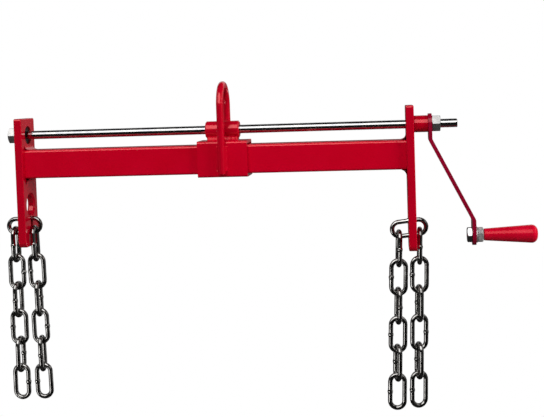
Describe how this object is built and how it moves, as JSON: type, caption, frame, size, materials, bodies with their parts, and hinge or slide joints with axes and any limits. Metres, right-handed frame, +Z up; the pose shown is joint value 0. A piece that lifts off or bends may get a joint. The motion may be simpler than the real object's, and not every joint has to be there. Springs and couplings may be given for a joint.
{
  "type": "engine load leveler",
  "caption": "Lifting beam for hoisting an engine level: a hand crank and lead screw slide the beam through a sleeve under a lifting loop, with chains hung from plates at both ends.",
  "frame": {"origin": "inside of the lifting loop's crown, where the crane hook bears", "axes": "+X along the beam to the crank, +Y to the back, +Z up"},
  "size_m": [0.7464, 0.07, 0.4639],
  "materials": {
    "red_paint": "gloss",
    "plated_steel": "bright zinc plate",
    "chain_steel": "plated, darkened",
    "dark_steel": "oiled, dark",
    "grip_plastic": "gloss"
  },
  "bodies": {
    "slider": {"slider_sleeve": "red_paint", "lifting_loop": "red_paint", "lead_nut": "red_paint", "nut_weld": "red_paint", "loop_weld_front_left": "red_paint", "loop_weld_front_right": "red_paint", "loop_weld_rear_left": "red_paint", "loop_weld_rear_right": "red_paint"},
    "beam": {"beam_tube": "red_paint", "left_end_plate": "red_paint", "right_end_plate": "red_paint", "left_weld": "red_paint", "right_weld": "red_paint", "left_bush": "dark_steel", "right_bush": "dark_steel"},
    "crank": {"lead_screw": "plated_steel", "end_washer": "plated_steel", "end_nut": "plated_steel", "crank_hub": "red_paint", "crank_arm": "red_paint", "crank_nut": "plated_steel", "grip_bolt": "plated_steel", "grip_washer": "plated_steel", "grip_nut": "plated_steel", "grip_snap_ring": "plated_steel"},
    "grip": {"grip": "grip_plastic"},
    "left_chain_middle_link": {"left_chain_middle_link": "chain_steel"},
    "left_chain_a_link_1": {"left_chain_a_link_1": "chain_steel"},
    "left_chain_a_link_2": {"left_chain_a_link_2": "chain_steel"},
    "left_chain_a_link_3": {"left_chain_a_link_3": "chain_steel"},
    "left_chain_a_link_4": {"left_chain_a_link_4": "chain_steel"},
    "left_chain_a_link_5": {"left_chain_a_link_5": "chain_steel"},
    "left_chain_a_link_6": {"left_chain_a_link_6": "chain_steel"},
    "left_chain_b_link_1": {"left_chain_b_link_1": "chain_steel"},
    "left_chain_b_link_2": {"left_chain_b_link_2": "chain_steel"},
    "left_chain_b_link_3": {"left_chain_b_link_3": "chain_steel"},
    "left_chain_b_link_4": {"left_chain_b_link_4": "chain_steel"},
    "left_chain_b_link_5": {"left_chain_b_link_5": "chain_steel"},
    "left_chain_b_link_6": {"left_chain_b_link_6": "chain_steel"},
    "right_chain_middle_link": {"right_chain_middle_link": "chain_steel"},
    "right_chain_a_link_1": {"right_chain_a_link_1": "chain_steel"},
    "right_chain_a_link_2": {"right_chain_a_link_2": "chain_steel"},
    "right_chain_a_link_3": {"right_chain_a_link_3": "chain_steel"},
    "right_chain_a_link_4": {"right_chain_a_link_4": "chain_steel"},
    "right_chain_a_link_5": {"right_chain_a_link_5": "chain_steel"},
    "right_chain_a_link_6": {"right_chain_a_link_6": "chain_steel"},
    "right_chain_b_link_1": {"right_chain_b_link_1": "chain_steel"},
    "right_chain_b_link_2": {"right_chain_b_link_2": "chain_steel"},
    "right_chain_b_link_3": {"right_chain_b_link_3": "chain_steel"},
    "right_chain_b_link_4": {"right_chain_b_link_4": "chain_steel"},
    "right_chain_b_link_5": {"right_chain_b_link_5": "chain_steel"},
    "right_chain_b_link_6": {"right_chain_b_link_6": "chain_steel"}
  },
  "joints": [
    {"name": "crank_turn", "type": "hinge", "parent": "beam", "child": "crank", "pos_m": [0, 0, -0.0573], "axis": [1, 0, 0], "range_deg": [-42840, 49320]},
    {"name": "beam_travel", "type": "slide", "parent": "slider", "child": "beam", "axis": [1, 0, 0], "range_m": [-0.20825, 0.23975]},
    {"name": "grip_spin", "type": "hinge", "parent": "crank", "child": "grip", "pos_m": [0.39, 0, -0.2108], "axis": [1, 0, 0], "continuous": true},
    {"name": "left_middle_link_slide", "type": "slide", "parent": "beam", "child": "left_chain_middle_link", "axis": [0.9994, 0, 0.0349], "range_m": [0, 0.0092]},
    {"name": "left_a_swing_1", "type": "hinge", "parent": "left_chain_middle_link", "child": "left_chain_a_link_1", "pos_m": [-0.30799, 0, -0.19717], "axis": [1, 0, 0], "range_deg": [-30, 30]},
    {"name": "left_a_swing_2", "type": "hinge", "parent": "left_chain_a_link_1", "child": "left_chain_a_link_2", "pos_m": [-0.30823, 0, -0.23692], "axis": [0, 1, 0], "range_deg": [0, 30]},
    {"name": "left_a_swing_3", "type": "hinge", "parent": "left_chain_a_link_2", "child": "left_chain_a_link_3", "pos_m": [-0.30823, 0, -0.27682], "axis": [1, 0, 0], "range_deg": [-30, 30]},
    {"name": "left_a_swing_4", "type": "hinge", "parent": "left_chain_a_link_3", "child": "left_chain_a_link_4", "pos_m": [-0.30823, 0, -0.31672], "axis": [0, 1, 0], "range_deg": [0, 30]},
    {"name": "left_a_swing_5", "type": "hinge", "parent": "left_chain_a_link_4", "child": "left_chain_a_link_5", "pos_m": [-0.30823, 0, -0.35662], "axis": [1, 0, 0], "range_deg": [-30, 30]},
    {"name": "left_a_swing_6", "type": "hinge", "parent": "left_chain_a_link_5", "child": "left_chain_a_link_6", "pos_m": [-0.30823, 0, -0.39652], "axis": [0, 1, 0], "range_deg": [0, 30]},
    {"name": "left_b_swing_1", "type": "hinge", "parent": "left_chain_middle_link", "child": "left_chain_b_link_1", "pos_m": [-0.27961, 0, -0.19618], "axis": [1, 0, 0], "range_deg": [-30, 30]},
    {"name": "left_b_swing_2", "type": "hinge", "parent": "left_chain_b_link_1", "child": "left_chain_b_link_2", "pos_m": [-0.27887, 0, -0.23592], "axis": [0, -1, 0], "range_deg": [0, 30]},
    {"name": "left_b_swing_3", "type": "hinge", "parent": "left_chain_b_link_2", "child": "left_chain_b_link_3", "pos_m": [-0.27803, 0, -0.27581], "axis": [0.9998, 0, 0.0209], "range_deg": [-30, 30]},
    {"name": "left_b_swing_4", "type": "hinge", "parent": "left_chain_b_link_3", "child": "left_chain_b_link_4", "pos_m": [-0.2772, 0, -0.3157], "axis": [0, -1, 0], "range_deg": [0, 30]},
    {"name": "left_b_swing_5", "type": "hinge", "parent": "left_chain_b_link_4", "child": "left_chain_b_link_5", "pos_m": [-0.27636, 0, -0.3556], "axis": [0.9998, 0, 0.0209], "range_deg": [-30, 30]},
    {"name": "left_b_swing_6", "type": "hinge", "parent": "left_chain_b_link_5", "child": "left_chain_b_link_6", "pos_m": [-0.27553, 0, -0.39549], "axis": [0, -1, 0], "range_deg": [0, 30]},
    {"name": "right_middle_link_slide", "type": "slide", "parent": "beam", "child": "right_chain_middle_link", "axis": [0.9936, 0, 0.1132], "range_m": [0, 0.008]},
    {"name": "right_a_swing_1", "type": "hinge", "parent": "right_chain_middle_link", "child": "right_chain_a_link_1", "pos_m": [0.23961, 0, -0.21153], "axis": [1, 0, 0], "range_deg": [-30, 30]},
    {"name": "right_a_swing_2", "type": "hinge", "parent": "right_chain_a_link_1", "child": "right_chain_a_link_2", "pos_m": [0.23713, 0, -0.2513], "axis": [0, 1, 0], "range_deg": [0, 30]},
    {"name": "right_a_swing_3", "type": "hinge", "parent": "right_chain_a_link_2", "child": "right_chain_a_link_3", "pos_m": [0.23567, 0, -0.29117], "axis": [0.9993, 0, -0.0366], "range_deg": [-30, 30]},
    {"name": "right_a_swing_4", "type": "hinge", "parent": "right_chain_a_link_3", "child": "right_chain_a_link_4", "pos_m": [0.2342, 0, -0.33104], "axis": [0, 1, 0], "range_deg": [0, 30]},
    {"name": "right_a_swing_5", "type": "hinge", "parent": "right_chain_a_link_4", "child": "right_chain_a_link_5", "pos_m": [0.23274, 0, -0.37092], "axis": [0.9993, 0, -0.0366], "range_deg": [-30, 30]},
    {"name": "right_a_swing_6", "type": "hinge", "parent": "right_chain_a_link_5", "child": "right_chain_a_link_6", "pos_m": [0.23128, 0, -0.41079], "axis": [0, 1, 0], "range_deg": [0, 30]},
    {"name": "right_b_swing_1", "type": "hinge", "parent": "right_chain_middle_link", "child": "right_chain_b_link_1", "pos_m": [0.26783, 0, -0.20832], "axis": [1, 0, 0], "range_deg": [-30, 30]},
    {"name": "right_b_swing_2", "type": "hinge", "parent": "right_chain_b_link_1", "child": "right_chain_b_link_2", "pos_m": [0.26567, 0, -0.24809], "axis": [0, -1, 0], "range_deg": [0, 30]},
    {"name": "right_b_swing_3", "type": "hinge", "parent": "right_chain_b_link_2", "child": "right_chain_b_link_3", "pos_m": [0.26449, 0, -0.28797], "axis": [0.9996, 0, -0.0297], "range_deg": [-30, 30]},
    {"name": "right_b_swing_4", "type": "hinge", "parent": "right_chain_b_link_3", "child": "right_chain_b_link_4", "pos_m": [0.26331, 0, -0.32786], "axis": [0, -1, 0], "range_deg": [0, 30]},
    {"name": "right_b_swing_5", "type": "hinge", "parent": "right_chain_b_link_4", "child": "right_chain_b_link_5", "pos_m": [0.26212, 0, -0.36774], "axis": [0.9996, 0, -0.0297], "range_deg": [-30, 30]},
    {"name": "right_b_swing_6", "type": "hinge", "parent": "right_chain_b_link_5", "child": "right_chain_b_link_6", "pos_m": [0.26094, 0, -0.40762], "axis": [0, -1, 0], "range_deg": [0, 30]}
  ],
  "couplings": [
    {"joint": "beam_travel", "follows": "crank_turn", "m_per_rad": 0.00027852}
  ]
}
